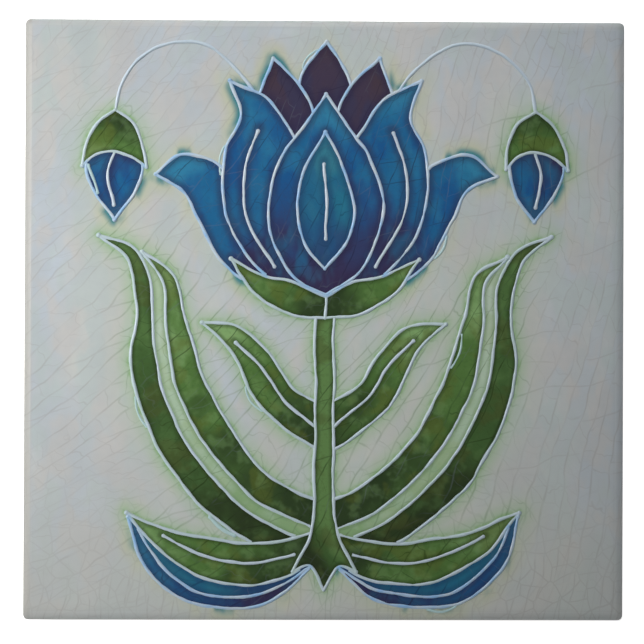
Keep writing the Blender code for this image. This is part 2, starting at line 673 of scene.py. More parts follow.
def fade(tree, value, start, end, low=0.0, high=1.0):
    """Turn a value smoothly from low at start to high at end."""
    feeds = {0: value, 1: start, 2: end, 3: low, 4: high}
    return put(tree, "ShaderNodeMapRange", feeds, interpolation_type="SMOOTHSTEP").outputs[0]


def vector_calc(tree, operation, first, second):
    """One step of arithmetic on vectors."""
    return put(tree, "ShaderNodeVectorMath", {0: first, 1: second}, operation=operation).outputs[0]


def scaled(tree, vector, factor):
    """A vector times a factor."""
    feeds = {0: vector, "Scale": factor}
    return put(tree, "ShaderNodeVectorMath", feeds, operation="SCALE").outputs[0]


def axes_of(tree, vector):
    """The X, Y and Z of a vector."""
    return put(tree, "ShaderNodeSeparateXYZ", {0: vector}).outputs


def parts_of(tree, colour):
    """The red, green and blue of a colour."""
    return put(tree, "ShaderNodeSeparateColor", {0: colour}).outputs


def grain(tree, place, scale, detail=1.0):
    """Smooth noise: its value comes first, then a colour of three such values."""
    return put(tree, "ShaderNodeTexNoise", {"Vector": place, "Scale": scale, "Detail": detail}).outputs


def mix(tree, share, low, high):
    """Mix two colours by a share."""
    return put(tree, "ShaderNodeMix", {0: share, 6: low, 7: high}, data_type="RGBA").outputs[2]


def coated(tree, colour, coats):
    """Lay coats over a colour, one after the other, each given by its share and its colour."""
    for share, coat in coats:
        colour = mix(tree, share, colour, coat)
    return colour


def opaque(colour, gain=1.0):
    """A colour with its alpha, made lighter or darker."""
    return (*(min(1.0, part * gain) for part in colour), 1.0)


def attribute(tree, name):
    """A value kept on the points of the piece."""
    return put(tree, "ShaderNodeAttribute", attribute_name=name).outputs["Fac"]


def new_group(name, inputs, outputs):
    """A node group with named inputs and number outputs, and its own input and output sockets."""
    tree = bpy.data.node_groups.new(name, "ShaderNodeTree")
    tree.interface.new_socket("Vector", in_out="INPUT", socket_type="NodeSocketVector")
    for label, default in inputs.items():
        socket = tree.interface.new_socket(label, in_out="INPUT", socket_type="NodeSocketFloat")
        socket.default_value = default
    for label in outputs:
        tree.interface.new_socket(label, in_out="OUTPUT", socket_type="NodeSocketFloat")
    given = tree.nodes.new("NodeGroupInput").outputs
    result = tree.nodes.new("NodeGroupOutput").inputs
    return tree, given, result


def use_group(tree, group, **feeds):
    """Place a node group in a material and return its outputs."""
    named = {name.title(): value for name, value in feeds.items()}
    return put(tree, "ShaderNodeGroup", named, node_tree=group).outputs


@lru_cache(maxsize=1)
def cloud_group():
    """Soft cloudy variation of a fired glaze, from 0 to 1."""
    inputs = {"Size": 10.0, "Contrast": 1.0, "Seed": 0.0}
    tree, given, result = new_group("glaze_cloud", inputs, ["Cloud"])
    shrunk = scaled(tree, given["Vector"], calc(tree, "DIVIDE", 1.0, given["Size"]))
    shift = put(tree, "ShaderNodeCombineXYZ", {"Z": given["Seed"]}).outputs[0]
    value = grain(tree, vector_calc(tree, "ADD", shrunk, shift), 1.0, 2.5)[0]
    spread = times(tree, centred(tree, value), times(tree, given["Contrast"], 2.0))
    lifted = put(tree, "ShaderNodeMath", {0: spread, 1: 0.5}, operation="ADD", use_clamp=True)
    tree.links.new(lifted.outputs[0], result["Cloud"])
    return tree


def cloud(tree, place, size, contrast, seed):
    """Place the cloud group and return its value."""
    return use_group(tree, cloud_group(), vector=place, size=size, contrast=contrast, seed=seed)["Cloud"]


@lru_cache(maxsize=1)
def speck_group():
    """Rare tiny dark specks of iron in the glaze."""
    inputs = {"Cell": 5.0, "Radius": 0.16, "Share": 0.2}
    tree, given, result = new_group("glaze_specks", inputs, ["Specks"])
    scale = calc(tree, "DIVIDE", 1.0, given["Cell"])
    cells = put(tree, "ShaderNodeTexVoronoi", {"Vector": given["Vector"], "Scale": scale})
    reach = times(tree, cells.outputs["Distance"], given["Cell"])
    near = fade(tree, reach, given["Radius"], 0.0)
    chance = parts_of(tree, cells.outputs["Color"])[0]
    picked = calc(tree, "LESS_THAN", chance, given["Share"])
    tree.links.new(times(tree, near, picked), result["Specks"])
    return tree


def specks(tree, place, cell, radius, share):
    """Place the speck group and return its mask."""
    return use_group(tree, speck_group(), vector=place, cell=cell, radius=radius, share=share)["Specks"]


def bent(tree, place):
    """Bend the plane on several scales, so that cracks laid out straight come out curved."""
    for scale, reach in CRACK_BENDS:
        warp = vector_calc(tree, "SUBTRACT", grain(tree, place, scale)["Color"], (0.5,) * 3)
        place = vector_calc(tree, "ADD", place, scaled(tree, warp, reach))
    return place


def edge_distance(tree, place, dimensions):
    """Distance to the nearest border between random cells."""
    feeds = {"W" if dimensions == "1D" else "Vector": place, "Scale": 1.0}
    settings = {"voronoi_dimensions": dimensions, "feature": "DISTANCE_TO_EDGE"}
    return put(tree, "ShaderNodeTexVoronoi", feeds, **settings).outputs["Distance"]


def cell_tones(tree, place):
    """Three random values of the cell that a place in a row of cells lies in."""
    cells = put(tree, "ShaderNodeTexVoronoi", {"W": place, "Scale": 1.0}, voronoi_dimensions="1D")
    return parts_of(tree, cells.outputs["Color"])


def cracks_between(tree, place, pitch, width):
    """Cracks at the borders of a row of cells, whose places count cells of one pitch."""
    gap = times(tree, edge_distance(tree, place, "1D"), pitch)
    return fade(tree, gap, width, CRACK_CORE)


@lru_cache(maxsize=1)
def crazing_group():
    """Net of fine cracks: long curved ones that run side by side, short slanting ones between them,
    a few flatter ones that cross them all, a many-sided net where Mosaic is high and upright ones
    where Fringe is high. Strip and Flake give a tone to each strip between long cracks and to each
    flake between the slanting ones. The places are in millimetres."""
    inputs = {"Pitch": 3.4, "Width": 0.17, "Mosaic": 0.0, "Fringe": 0.0}
    tree, given, result = new_group("glaze_crazing", inputs, ["Cracks", "Flake", "Strip"])
    pitch, width = given["Pitch"], given["Width"]
    place = bent(tree, given["Vector"])
    axes = axes_of(tree, place)
    patches = grain(tree, given["Vector"], 0.07, 2.0)
    patch = patches[0]
    other_patch = parts_of(tree, patches["Color"])[1]
    breaks = grain(tree, given["Vector"], 0.20)[0]

    # Long cracks, which turn slowly over the face
    lean = times_plus(tree, axes["X"], CRACK_LEAN_ACROSS, CRACK_LEAN)
    lean = times_plus(tree, axes["Y"], CRACK_LEAN_UP, lean)
    across = times_plus(tree, axes["X"], lean, times(tree, axes["Y"], CRACK_DRIFT))
    strip_place = calc(tree, "DIVIDE", across, pitch)
    strip = cell_tones(tree, strip_place)[0]
    in_patches = fade(tree, patch, 0.36, 0.56, 0.35, 1.0)
    unbroken = times(tree, in_patches, fade(tree, breaks, 0.40, 0.56, 0.55, 1.0))
    long_cracks = times(tree, cracks_between(tree, strip_place, pitch, width), unbroken)

    # Slanting cracks, with a slant of their own in each strip
    cross_pitch = times(tree, pitch, 1.9)
    slant = times_plus(tree, strip, 2.6, -1.3)
    along = times_plus(tree, axes["X"], 0.64, axes["Y"])
    wavy = times_plus(tree, grain(tree, place, 0.30)[0], 5.0, along)
    leaning = times_plus(tree, across, slant, wavy)
    cross_place = times_plus(tree, strip, 91.0, calc(tree, "DIVIDE", leaning, cross_pitch))
    crossing = fade(tree, other_patch, 0.38, 0.58, 0.10, 0.75)
    cross_cracks = times(tree, cracks_between(tree, cross_place, cross_pitch, width), crossing)

    # Flatter cracks across them all
    flat_pitch = times(tree, pitch, 2.6)
    flat_place = calc(tree, "DIVIDE", times_plus(tree, axes["X"], -0.30, axes["Y"]), flat_pitch)
    flattening = fade(tree, other_patch, 0.56, 0.42, 0.0, 0.7)
    flat_cracks = times(tree, cracks_between(tree, flat_place, flat_pitch, width), flattening)

    # Upright cracks, where Fringe is high
    upright_pitch = times(tree, pitch, 0.90)
    upright_place = calc(tree, "DIVIDE", times_plus(tree, axes["Y"], -0.15, axes["X"]), upright_pitch)
    fringing = times(tree, given["Fringe"], fade(tree, breaks, 0.40, 0.58, 0.30, 1.0))
    upright_cracks = times(tree, cracks_between(tree, upright_place, upright_pitch, width), fringing)

    # The net, where Mosaic is high
    net_gap = edge_distance(tree, scaled(tree, place, NET_SCALE), "2D")
    net_gap = calc(tree, "DIVIDE", net_gap, NET_SCALE)
    net = times(tree, fade(tree, net_gap, width, CRACK_CORE), given["Mosaic"])

    ordered = larger(tree, long_cracks, larger(tree, cross_cracks, flat_cracks))
    plain = times_plus(tree, given["Mosaic"], -0.4, 1.0)
    plain = times(tree, plain, times_plus(tree, given["Fringe"], -0.65, 1.0))
    cracks = larger(tree, times(tree, ordered, plain), larger(tree, net, upright_cracks))
    tree.links.new(cracks, result["Cracks"])
    tree.links.new(cell_tones(tree, cross_place)[1], result["Flake"])
    tree.links.new(strip, result["Strip"])
    return tree


def begin_material(name):
    """A material, its node tree, and the object's own coordinates in millimetres."""
    material = bpy.data.materials.new(name)
    material.use_nodes = True
    tree = material.node_tree
    coordinates = put(tree, "ShaderNodeTexCoord").outputs["Object"]
    return material, tree, scaled(tree, coordinates, 1 / MM)


def paint(material, colour, height, relief, roughness):
    """Feed a material's shader with its colour, its relief in metres and its roughness."""
    tree = material.node_tree
    shader = tree.nodes["Principled BSDF"]
    tree.links.new(colour, shader.inputs["Base Color"])
    bump = put(tree, "ShaderNodeBump", {"Height": height, "Strength": 1.0, "Distance": relief})
    tree.links.new(bump.outputs[0], shader.inputs["Normal"])
    if isinstance(roughness, float):
        shader.inputs["Roughness"].default_value = roughness
    else:
        tree.links.new(roughness, shader.inputs["Roughness"])
    shader.inputs["IOR"].default_value = GLAZE_IOR
    return material


def clay_material(scene):
    """Unglazed fired clay: buff, matt and slightly grainy."""
    clay = scene.wall_tile_colours.clay
    material, tree, place = begin_material("fired_clay")
    broad = cloud(tree, place, size=18.0, contrast=1.3, seed=2.0)
    fine = cloud(tree, place, size=0.7, contrast=1.8, seed=5.0)
    iron = specks(tree, place, cell=2.2, radius=0.25, share=0.3)
    colour = mix(tree, broad, opaque(clay, 0.86), opaque(clay, 1.10))
    colour = coated(tree, colour, [
        (times(tree, fine, 0.35), opaque(clay, 0.60)),
        (times(tree, iron, 0.7), opaque(clay, 0.25)),
    ])
    return paint(material, colour, fine, relief=0.00010, roughness=0.85)


def ground_crazing(tree, place, axes, corner, pitch):
    """The crazing of the ground, with a net at the lower right and, fainter, over the lower part,
    and upright cracks along the bottom edge."""
    ragged = cloud(tree, place, size=26.0, contrast=1.6, seed=4.0)
    low = times_plus(tree, ragged, 14.0, times(tree, axes["Y"], -1.0))
    at_right = times(tree, fade(tree, low, 68.0, 80.0), fade(tree, corner, 50.0, 105.0, 0.0, 0.75))
    mosaic = larger(tree, at_right, fade(tree, low, 28.0, 70.0, 0.0, 0.50))
    fringe = fade(tree, low, 60.0, 76.0, 0.0, 0.85)
    feeds = {"vector": place, "pitch": pitch, "width": 0.30, "mosaic": mosaic, "fringe": fringe}
    return use_group(tree, crazing_group(), **feeds)


def ground_masks(tree, place, pitch):
    """The masks and the noises that the layers of the ground glaze share."""
    axes = axes_of(tree, place)
    corner = calc(tree, "SUBTRACT", axes["X"], axes["Y"])
    outer = larger(tree, calc(tree, "ABSOLUTE", axes["X"]), calc(tree, "ABSOLUTE", axes["Y"]))
    stretched = vector_calc(tree, "MULTIPLY", place, (1.0, 0.5, 1.0))
    return SimpleNamespace(
        across=axes["X"],
        up=axes["Y"],
        corner=corner,
        outer=outer,
        edge_gap=calc(tree, "SUBTRACT", HALF_SIDE, outer),
        green_gap=attribute(tree, "green_gap"),
        blue_gap=attribute(tree, "blue_gap"),
        broad=cloud(tree, stretched, size=22.0, contrast=1.8, seed=0.0),
        blotch=cloud(tree, stretched, size=8.0, contrast=1.7, seed=7.0),
        shade=cloud(tree, stretched, size=11.0, contrast=1.8, seed=13.0),
        fine=cloud(tree, place, size=2.4, contrast=1.4, seed=9.0),
        crazing=ground_crazing(tree, place, axes, corner, pitch),
    )


def ground_tones(tree, masks, colours, stains):
    """The bare ground: cool and warm parts, blotches, and tones of the strips and flakes."""
    warmth = calc(tree, "ADD", masks.broad, fade(tree, masks.outer, 72.0, 52.0, -0.12, 0.22))
    warmth = calc(tree, "ADD", warmth, fade(tree, masks.up, -45.0, -76.0, 0.0, 0.70))
    warmth = calc(tree, "ADD", warmth, fade(tree, masks.across, 25.0, 70.0, 0.0, -0.35))
    warmth = times_plus(tree, centred(tree, masks.crazing["Strip"]), 0.45, warmth)
    warmth = put(tree, "ShaderNodeClamp", {0: warmth}).outputs[0]
    colour = mix(tree, warmth, opaque(colours.ground_cool), opaque(colours.ground_warm))
    return coated(tree, colour, [
        (times(tree, fade(tree, masks.blotch, 0.50, 0.9), 0.7), opaque(stains.beige_blotch)),
        (times(tree, fade(tree, masks.blotch, 0.48, 0.1), 0.7), opaque(stains.sage_blotch)),
        (times(tree, masks.shade, 0.30), opaque(stains.cool_shade)),
        (times(tree, masks.fine, 0.18), opaque(stains.fine_mottle)),
        (times(tree, masks.crazing["Flake"], 0.17), opaque(stains.dark_flake)),
        (fade(tree, masks.up, -20.0, -68.0, 0.0, 0.52), opaque(stains.lower_part)),
    ])


def ground_edge(tree, masks, colour, stains):
    """The edge of the ground: on the roll at the left and the top, the warm tint of thin glaze, darkened
    there as painted shade against the key lamp; painted shade at the right and the bottom; and a faint
    line of painted shade where the roll begins, deepest at the upper left."""
    begin, end = HALF_SIDE - THIN_SHADE_BEGIN, HALF_SIDE - THIN_SHADE_FULL
    # Painted shade: the roll at the left and the top darkened against the key lamp, with the warm tint of
    # thin glaze
    thin_shade_left = fade(tree, masks.across, -begin, -end, 0.0, 0.85)
    thin_shade_top = fade(tree, masks.up, begin, end, 0.0, 0.30)
    # Painted shade at the right and the bottom
    far_side = larger(tree, masks.across, times(tree, masks.up, -1.0))
    # A line of painted shade where the roll begins, deepest at the upper left
    off_hollow = calc(tree, "ABSOLUTE", calc(tree, "SUBTRACT", masks.edge_gap, HOLLOW_PLACE))
    hollow_shade_depth = fade(tree, masks.corner, -90.0, 60.0, 0.18, 0.04)
    return coated(tree, colour, [
        (larger(tree, thin_shade_left, thin_shade_top), opaque(stains.thin_glaze)),
        (fade(tree, far_side, HALF_SIDE - FAR_SHADE_BEGIN, HALF_SIDE, 0.0, 0.30), opaque(stains.thick_glaze)),
        (times(tree, fade(tree, off_hollow, 0.4, 0.05), hollow_shade_depth), opaque(stains.hollow_painted_shade)),
    ])


def ground_stains(tree, masks, colour, stains):
    """The colour that ran from the fields into the ground round them."""
    green_gap, blue_gap = masks.green_gap, masks.blue_gap
    glow_patches = fade(tree, masks.broad, 0.2, 0.8, 0.10, 0.40)
    wash_patches = fade(tree, masks.blotch, 0.0, 0.8, 0.35, 0.75)
    rim_patches = fade(tree, masks.fine, 0.2, 0.9, 0.2, 0.8)
    smudge_patches = fade(tree, masks.blotch, 0.60, 1.0)
    yellow = times(tree, fade(tree, blue_gap, 6.0, 0.8, 0.0, 0.65), masks.blotch)
    return coated(tree, colour, [
        (yellow, opaque(stains.yellow_stain)),
        (times(tree, fade(tree, green_gap, 10.0, 1.0), glow_patches), opaque(stains.green_glow)),
        (times(tree, fade(tree, green_gap, 4.6, 0.5), wash_patches), opaque(stains.green_wash)),
        (times(tree, fade(tree, green_gap, 1.7, 0.4), rim_patches), opaque(stains.green_rim)),
        (times(tree, fade(tree, blue_gap, 2.6, 0.4), smudge_patches), opaque(stains.blue_smudge)),
    ])


def ground_material(scene):
    """Pale crazed ground glaze, stained green and yellow close to the coloured fields."""
    colours, stains = scene.wall_tile_colours, scene.wall_tile_stains
    material, tree, place = begin_material("ground_glaze")
    masks = ground_masks(tree, place, scene.wall_tile_sizes.crack_pitch / MM)
    colour = ground_tones(tree, masks, colours, stains)
    colour = ground_edge(tree, masks, colour, stains)
    colour = ground_stains(tree, masks, colour, stains)

    cracks = masks.crazing["Cracks"]
    near_green = fade(tree, masks.green_gap, 9.0, 1.0, 0.0, 0.8)
    crack_colour = mix(tree, near_green, opaque(colours.crack), opaque(stains.green_crack))
    strength = fade(tree, masks.green_gap, 1.0, 6.0, 0.52, 0.31)
    strength = times(tree, strength, fade(tree, masks.corner, -120.0, -20.0, 0.78, 1.0))
    iron = specks(tree, place, cell=9.0, radius=0.22, share=0.16)
    colour = coated(tree, colour, [
        (times(tree, cracks, strength), crack_colour),
        (times(tree, iron, 0.7), opaque(colours.crack, 0.6)),
    ])
    height = times_plus(tree, cracks, -0.25, times(tree, masks.fine, 0.5))
    roughness = fade(tree, masks.edge_gap, 3.0, 1.0, GLAZE_ROUGHNESS, ROLL_ROUGHNESS)
    return paint(material, colour, height, relief=0.00002, roughness=roughness)


def pooled_material(name, scene, flow):
    """Coloured glaze that pooled between the lines, from a dark root to a lighter tip."""
    colours = scene.wall_tile_colours
    root, body, tip, accent = [
        getattr(colours, name + part) for part in ("_root", "_body", "_tip", "_accent")
    ]
    material, tree, place = begin_material(name)
    stretched = vector_calc(tree, "MULTIPLY", place, (1.0, flow.streak, 1.0))
    broad = cloud(tree, place, size=12.0, contrast=1.5, seed=1.0)
    streaks = cloud(tree, stretched, size=4.0, contrast=1.5, seed=3.0)
    hue = cloud(tree, stretched, size=7.0, contrast=2.0, seed=17.0)
    fine = cloud(tree, place, size=0.9, contrast=1.4, seed=6.0)
    pitch = scene.wall_tile_sizes.crack_pitch / MM
    cracks = use_group(tree, crazing_group(), vector=place, pitch=pitch, width=0.22)["Cracks"]
    pale_specks = specks(tree, place, cell=7.0, radius=0.20, share=0.14)
    rim = fade(tree, attribute(tree, "line_gap"), flow.rim_width, 0.45)

    along = times_plus(tree, centred(tree, broad), flow.unevenness, attribute(tree, "along"))
    along = times_plus(tree, centred(tree, streaks), 0.06, along)
    colour = mix(tree, fade(tree, along, 0.05, 0.62), opaque(root), opaque(body))
    colour = coated(tree, colour, [
        (fade(tree, along, 0.60, 1.00), opaque(tip)),
        (times(tree, fade(tree, hue, 0.45, 0.95), 0.5), opaque(accent)),
        (times(tree, fade(tree, streaks, 0.45, 1.0), 0.20), opaque(tip)),
        (times(tree, fade(tree, fine, 0.5, 1.0), 0.12), opaque(root)),
        (times(tree, rim, 0.55), opaque(root, 0.75)),
        (times(tree, cracks, fade(tree, broad, 0.2, 0.7, 0.20, 0.60)), opaque(root, 0.5)),
        (times(tree, cracks, fade(tree, broad, 0.50, 0.15, 0.0, 0.07)), opaque(colours.slip)),
        (times(tree, pale_specks, 0.5), opaque(colours.slip, 0.8)),
    ])
    height = times_plus(tree, cracks, -0.05, times(tree, streaks, 0.6))
    return paint(material, colour, height, relief=0.00003, roughness=GLAZE_ROUGHNESS)


def slip_material(name, scene, stain):
    """Pale slip under clear glaze, tinted by the glaze beside it, or all over by a stain."""
    stains = scene.wall_tile_stains
    material, tree, place = begin_material(name)
    patch = cloud(tree, place, size=5.0, contrast=1.8, seed=8.0)
    fine = cloud(tree, place, size=0.8, contrast=1.5, seed=11.0)
    near_green = fade(tree, attribute(tree, "green_gap"), 1.2, 0.2, 0.0, 0.50)
    near_blue = fade(tree, attribute(tree, "blue_gap"), 1.2, 0.2, 0.0, 0.85)
    colour = coated(tree, opaque(scene.wall_tile_colours.slip), [
        (times(tree, fine, 0.35), opaque(stains.slip_shade)),
        (times(tree, near_green, patch), opaque(stains.slip_by_green)),
        (times(tree, near_blue, patch), opaque(stains.slip_by_blue)),
        (stain, opaque(stains.stray_slip)),
    ])
    return paint(material, colour, fine, relief=0.00004, roughness=0.30)


def piece_from(bm, name, material):
    """Make a finished piece of a bmesh: shaded smooth, riding on the tile, with its finish's slot."""
    mesh = bpy.data.meshes.new(name)
    bm.to_mesh(mesh)
    bm.free()
    mesh.shade_smooth()
    mesh.materials.append(material)
    piece = bpy.data.objects.new(name, mesh)
    bpy.context.scene.collection.objects.link(piece)
    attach(piece, "root")
    return piece


def keep_on_points(mesh, name, values):
    """Store one value for each point of a mesh."""
    layer = mesh.attributes.new(name, "FLOAT", "POINT")
    layer.data.foreach_set("value", np.asarray(values, np.float32))


def keep_line_gaps(mesh):
    """Store how far each point lies from the lines round the green and the blue fields."""
    places = [vert.co / MM for vert in mesh.vertices]
    for family in ("green", "blue"):
        gaps = [min(line_gap(place.x, place.y, family), GAP_LIMIT) for place in places]
        keep_on_points(mesh, family + "_gap", gaps)


def round_corners(bm, half):
    """Draw the corner points of a square grid in on to an arc."""
    centre = half - CORNER_RADIUS
    for vert in bm.verts:
        reach_x, reach_y = abs(vert.co.x) - centre, abs(vert.co.y) - centre
        if reach_x > 0 and reach_y > 0:
            shrink = max(reach_x, reach_y) / math.hypot(reach_x, reach_y)
            vert.co.x = math.copysign(centre + reach_x * shrink, vert.co.x)
            vert.co.y = math.copysign(centre + reach_y * shrink, vert.co.y)


def grow_ring(bm, edges, half_before, half_after, height):
    """Extrude the open edge of the sheet to a larger or smaller ring at another height."""
    made = bmesh.ops.extrude_edge_only(bm, edges=edges)["geom"]
    verts = [item for item in made if isinstance(item, bmesh.types.BMVert)]
    factor = half_after / half_before
    bmesh.ops.scale(bm, vec=(factor, factor, 1.0), verts=verts)
    for vert in verts:
        vert.co.z = height(vert.co.x, vert.co.y) if callable(height) else height
    return [item for item in made if isinstance(item, bmesh.types.BMEdge) and item.is_boundary]


def build_ground(skirt):
    """The ground glaze: an uneven sheet over the face that rolls over the edge and ends in a wavy rim,
    a skirt's depth below the face."""

    def rim_height(x, y):
        return FACE - skirt + RIM_WAVE * uneven(x, y, 8, 4.4)

    bm = bmesh.new()
    inner_half = HALF_SIDE - ROLL_WIDTH
    count = round(2 * inner_half / GRID_STEP)
    bmesh.ops.create_grid(bm, x_segments=count, y_segments=count, size=inner_half)
    round_corners(bm, inner_half)
    top = FACE + GLAZE_PROUD
    for vert in bm.verts:
        vert.co.z = top

    edges = [edge for edge in bm.edges if edge.is_boundary]
    half = inner_half
    for index in range(1, ROLL_SEGMENTS + 1):
        angle = math.radians(90) * index / ROLL_SEGMENTS
        grown = inner_half + (ROLL_WIDTH + GLAZE_PROUD) * math.sin(angle)
        edges = grow_ring(bm, edges, half, grown, top - ROLL_DEPTH * (1 - math.cos(angle)))
        half = grown

    hidden = half - GLAZE_ROOT
    edges = grow_ring(bm, edges, half, half, FACE - skirt * SKIRT_EVEN)
    edges = grow_ring(bm, edges, half, half, rim_height)
    edges = grow_ring(bm, edges, half, hidden, rim_height)
    edges = grow_ring(bm, edges, hidden, hidden, FACE - ROLL_DEPTH - GLAZE_ROOT)
    edges = grow_ring(bm, edges, hidden, half - ROLL_WIDTH, FACE - GLAZE_ROOT)
    bmesh.ops.contextual_create(bm, geom=edges)

    for vert in bm.verts:
        if vert.co.z > top - ROLL_DEPTH:
            flat = fade_to_edge(vert.co.x, vert.co.y, inner_half)
            gap = line_gap(vert.co.x, vert.co.y)
            vert.co.z += flat * undulation(vert.co.x, vert.co.y) + meniscus(gap)
    bmesh.ops.recalc_face_normals(bm, faces=bm.faces)
    bmesh.ops.scale(bm, vec=(MM,) * 3, verts=bm.verts)
    return bm


def fade_to_edge(x, y, half):
    """One on the face, falling to nothing where the edge starts to roll over."""
    return min(1.0, max(0.0, (half - max(abs(x), abs(y))) / CALM_WIDTH))


def pool_patch(bm, entry, order):
    """Add one field as a patch of fine squares inside its outline and not under a later field, for its
    border to be drawn to the middle of the lines.
    """
    low = np.floor(entry.outline.min(axis=0) / POOL_STEP) * POOL_STEP
    high = np.ceil(entry.outline.max(axis=0) / POOL_STEP) * POOL_STEP
    columns, rows = np.round((high - low) / POOL_STEP).astype(int)
    centre = (low + high) / 2
    place = Matrix.Translation((*centre, 0.0)) @ Matrix.Diagonal((*(high - low), 1.0, 1.0))
    made = bmesh.ops.create_grid(
        bm, x_segments=int(columns), y_segments=int(rows), size=0.5, matrix=place
    )["verts"]
    faces = list({face for vert in made for face in vert.link_faces})
    middles = np.array([face.calc_center_median()[:2] for face in faces])
    kept = inside(middles, entry.outline) & ~covered(middles, order)
    bmesh.ops.delete(bm, geom=[face for face, keep in zip(faces, kept) if not keep], context="FACES")
    patch = [vert for vert in made if vert.is_valid]
    part_pinched_corners(bm, patch)
    return [vert for vert in patch if vert.is_valid]


def part_pinched_corners(bm, patch):
    """Drop one of two squares that touch at a corner only, so that the border is a clean loop."""
    for vert in patch:
        if vert.is_valid and sum(edge.is_boundary for edge in vert.link_edges) == 4:
            bmesh.ops.delete(bm, geom=[vert.link_faces[0]], context="FACES")


def build_pools(glaze):
    """All fields of one glaze, as closed thin bodies."""
    bm = bmesh.new()
    along = bm.verts.layers.float.new("along")
    gap_layer = bm.verts.layers.float.new("line_gap")
    for order, entry in enumerate(ornament()):
        if entry.glaze != glaze:
            continue
        axis = entry.tip - entry.root
        borders = tree_of(np.concatenate([other.outline for other in ornament()[order:] if other.glaze]))
        for vert in pool_patch(bm, entry, order):
            if vert.is_boundary:
                nearest = borders.find((vert.co.x, vert.co.y, 0.0))[0]
                vert.co.x, vert.co.y = nearest.x, nearest.y
            gap = line_gap(vert.co.x, vert.co.y)
            vert[along] = (vert.co.xy - entry.root).dot(axis) / axis.length_squared
            vert[gap_layer] = gap
            rise = undulation(vert.co.x, vert.co.y) + meniscus(gap)
            vert.co.z = FACE + GLAZE_PROUD + POOL_PROUD + rise
    bmesh.ops.remove_doubles(bm, verts=bm.verts, dist=MERGE_GAP)
    border = [edge for edge in bm.edges if edge.is_boundary]
    made = bmesh.ops.extrude_edge_only(bm, edges=border)["geom"]
    for vert in made:
        if isinstance(vert, bmesh.types.BMVert):
            vert.co.z = FACE - GLAZE_ROOT
    base = [item for item in made if isinstance(item, bmesh.types.BMEdge) and item.is_boundary]
    bmesh.ops.triangle_fill(bm, use_beauty=True, edges=base)
    bmesh.ops.recalc_face_normals(bm, faces=bm.faces)
    bmesh.ops.scale(bm, vec=(MM,) * 3, verts=bm.verts)
    return bm


def bead(gap, radius):
    """Swelling of a line towards a free end, where the nozzle was set down or lifted."""
    swell = 1.0 + 0.28 * math.exp(-((gap / radius - 1.3) / 1.1) ** 2)
    close = min(1.0, gap / (1.2 * radius))
    return swell * math.sqrt(max(0.02, 1 - (1 - close) ** 2))


def is_free(point, run, runs):
    """Whether an end of a run meets no other run."""
    others = np.concatenate([other.points for other in runs if other is not run])
    return np.hypot(*(others - point).T).min() > FREE_END_GAP


def add_spline(curve, run, runs, gain):
    """Add one piped line to a curve object, with the unevenness of a hand-held nozzle."""
    steps = np.hypot(*np.diff(run.points, axis=0).T)
    positions = np.concatenate([[0.0], np.cumsum(steps)])
    free_start, free_end = is_free(run.points[0], run, runs), is_free(run.points[-1], run, runs)
    spline = curve.splines.new("POLY")
    spline.points.add(len(run.points) - 1)
    for point, (x, y), position in zip(spline.points, run.points, positions):
        slow = uneven(x, y, 3.6, 12.0)
        radius = run.radius * gain * (1 + 0.30 * slow + 0.12 * uneven(x, y, 1.1, 15.0))
        if free_start:
            radius *= bead(position, run.radius)
        if free_end:
            radius *= bead(positions[-1] - position, run.radius)
        point.co = (x, y, LINE_HEIGHT + 0.05 * slow, 1.0)
        point.radius = radius


def piped(name, runs, gain):
    """Pipe a set of lines and return them as one bmesh."""
    curve = bpy.data.curves.new(name, "CURVE")
    curve.dimensions = "3D"
    curve.bevel_depth = 1.0
    curve.bevel_resolution = 3
    curve.use_fill_caps = True
    for run in runs:
        add_spline(curve, run, runs, gain)
    holder = bpy.data.objects.new(name + "_path", curve)
    bpy.context.scene.collection.objects.link(holder)
    evaluated = holder.evaluated_get(bpy.context.evaluated_depsgraph_get())
    mesh = bpy.data.meshes.new_from_object(evaluated)
    bm = bmesh.new()
    bm.from_mesh(mesh)
    bpy.data.objects.remove(holder)
    bpy.data.meshes.remove(mesh)
    return bm


def blobs(gain):
    """Blobs of slip where lines meet at a corner, larger at the tips, as one mesh."""
    bm = bmesh.new()
    for (x, y), is_tip in shown_corners():
        swell = 1.45 if is_tip else 1.15
        radius = LINE_RADIUS * gain * (swell + 0.40 * uneven(x, y, 4, 20.0))
        place = Matrix.Translation((x, y, LINE_HEIGHT))
        bmesh.ops.create_uvsphere(bm, u_segments=14, v_segments=9, radius=radius, matrix=place)
    mesh = bpy.data.meshes.new("slip_blobs")
    bm.to_mesh(mesh)
    bm.free()
    return mesh


def settle(bm):
    """Flatten piped slip as it settles while wet, and bring it to metres."""
    about_face = Matrix.Translation((0.0, 0.0, -LINE_HEIGHT))
    bmesh.ops.scale(bm, vec=(1.0, 1.0, LINE_SQUASH), space=about_face, verts=bm.verts)
    bmesh.ops.recalc_face_normals(bm, faces=bm.faces)
    bmesh.ops.scale(bm, vec=(MM,) * 3, verts=bm.verts)
    return bm


def seen_or_shed(tree, seen, shed):
    """The strength of a light where the camera sees it, and where it falls on something."""
    is_seen = put(tree, "ShaderNodeLightPath").outputs["Is Camera Ray"]
    return put(tree, "ShaderNodeMix", {0: is_seen, 2: shed, 3: seen}, data_type="FLOAT").outputs[0]


